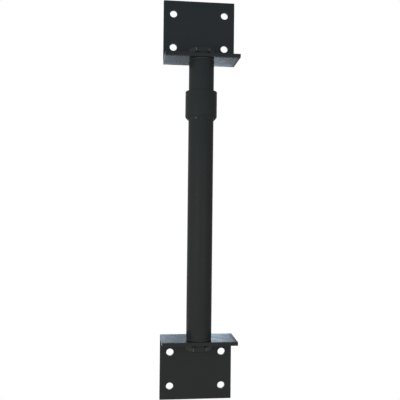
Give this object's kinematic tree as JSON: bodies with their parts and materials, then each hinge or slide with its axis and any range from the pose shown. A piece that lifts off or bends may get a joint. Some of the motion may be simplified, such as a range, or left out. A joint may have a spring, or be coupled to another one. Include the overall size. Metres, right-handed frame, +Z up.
{
  "type": "door security bar",
  "caption": "Black steel security bar with angle brackets at both ends of a round tube and a screw collar that sets its length.",
  "frame": {"origin": "middle of the lower bracket's wall face", "axes": "+X to the right as the bar is seen on its wall, +Y into the wall, +Z up along the bar"},
  "size_m": [0.1, 0.0612, 0.5569],
  "materials": {
    "black_paint": "satin black paint over steel",
    "plain_steel": "bare machined steel",
    "black_nylon": "matt black nylon"
  },
  "bodies": {
    "base": {"lower_bracket": "black_paint", "lower_washer": "black_nylon", "lower_nut_washer": "black_paint"},
    "turning_bar": {"lower_tube": "black_paint", "coupling_collar": "black_paint", "collar_weld": "black_paint", "lower_end_plug": "plain_steel", "lower_stud": "plain_steel", "lower_nut": "black_paint", "lower_plug_weld": "plain_steel"},
    "sliding_head": {"upper_tube": "black_paint", "upper_end_plug": "plain_steel", "upper_stud": "plain_steel", "upper_nut": "black_paint", "upper_washer": "black_nylon", "upper_bracket": "black_paint", "upper_plug_weld": "plain_steel", "upper_nut_washer": "black_paint"}
  },
  "joints": [
    {"name": "bar_turn", "type": "hinge", "parent": "base", "child": "turning_bar", "pos_m": [0, -0.04, 0.0455], "axis": [0, 0, -1], "range_deg": [0, 1890]},
    {"name": "head_slide", "type": "slide", "parent": "base", "child": "sliding_head", "axis": [0, 0, 1], "range_m": [0, 0.01215]}
  ],
  "couplings": [
    {"joint": "head_slide", "follows": "bar_turn", "m_per_rad": 0.00036749}
  ]
}
